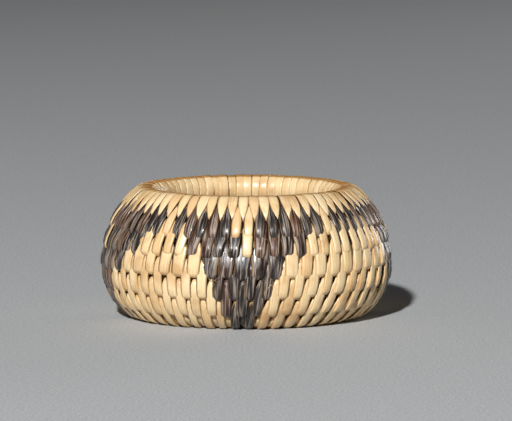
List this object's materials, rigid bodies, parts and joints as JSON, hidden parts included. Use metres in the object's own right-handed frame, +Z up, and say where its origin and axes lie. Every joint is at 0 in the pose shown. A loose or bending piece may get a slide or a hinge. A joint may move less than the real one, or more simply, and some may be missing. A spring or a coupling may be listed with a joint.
{
  "type": "miniature basket",
  "caption": "Miniature squat coiled basket, open at the top, with a round belly, a drawn-in rim and a flat base, sewn in pale and dark splints with stepped triangular figures.",
  "frame": {"origin": "on the basket's axis, in the plane that it stands on", "axes": "+Z up out of the mouth, -Y towards the side with a figure in its middle, +X to the right of that side"},
  "size_m": [0.0396, 0.0399, 0.0183],
  "materials": {
    "grass_bundle": "dry split grass stems, matt",
    "pale_splint": "peeled willow shoot, split and scraped, satin",
    "dark_splint": "split dark seed pod, satin"
  },
  "bodies": {
    "root": {"foundation_coil": "grass_bundle", "start_knot": "grass_bundle", "light_splint_turn_01": "pale_splint", "light_splint_turn_02": "pale_splint", "light_splint_turn_03": "pale_splint", "light_splint_turn_04": "pale_splint", "light_splint_turn_05": "pale_splint", "light_splint_turn_06": "pale_splint", "light_splint_turn_07": "pale_splint", "light_splint_turn_08": "pale_splint", "light_splint_turn_09": "pale_splint", "light_splint_turn_10": "pale_splint", "light_splint_turn_11": "pale_splint", "light_splint_turn_12": "pale_splint", "light_splint_turn_13": "pale_splint", "dark_splint_turn_02": "dark_splint", "dark_splint_turn_03": "dark_splint", "dark_splint_turn_04": "dark_splint", "dark_splint_turn_05": "dark_splint", "dark_splint_turn_06": "dark_splint", "dark_splint_turn_07": "dark_splint", "dark_splint_turn_08": "dark_splint"}
  },
  "joints": []
}
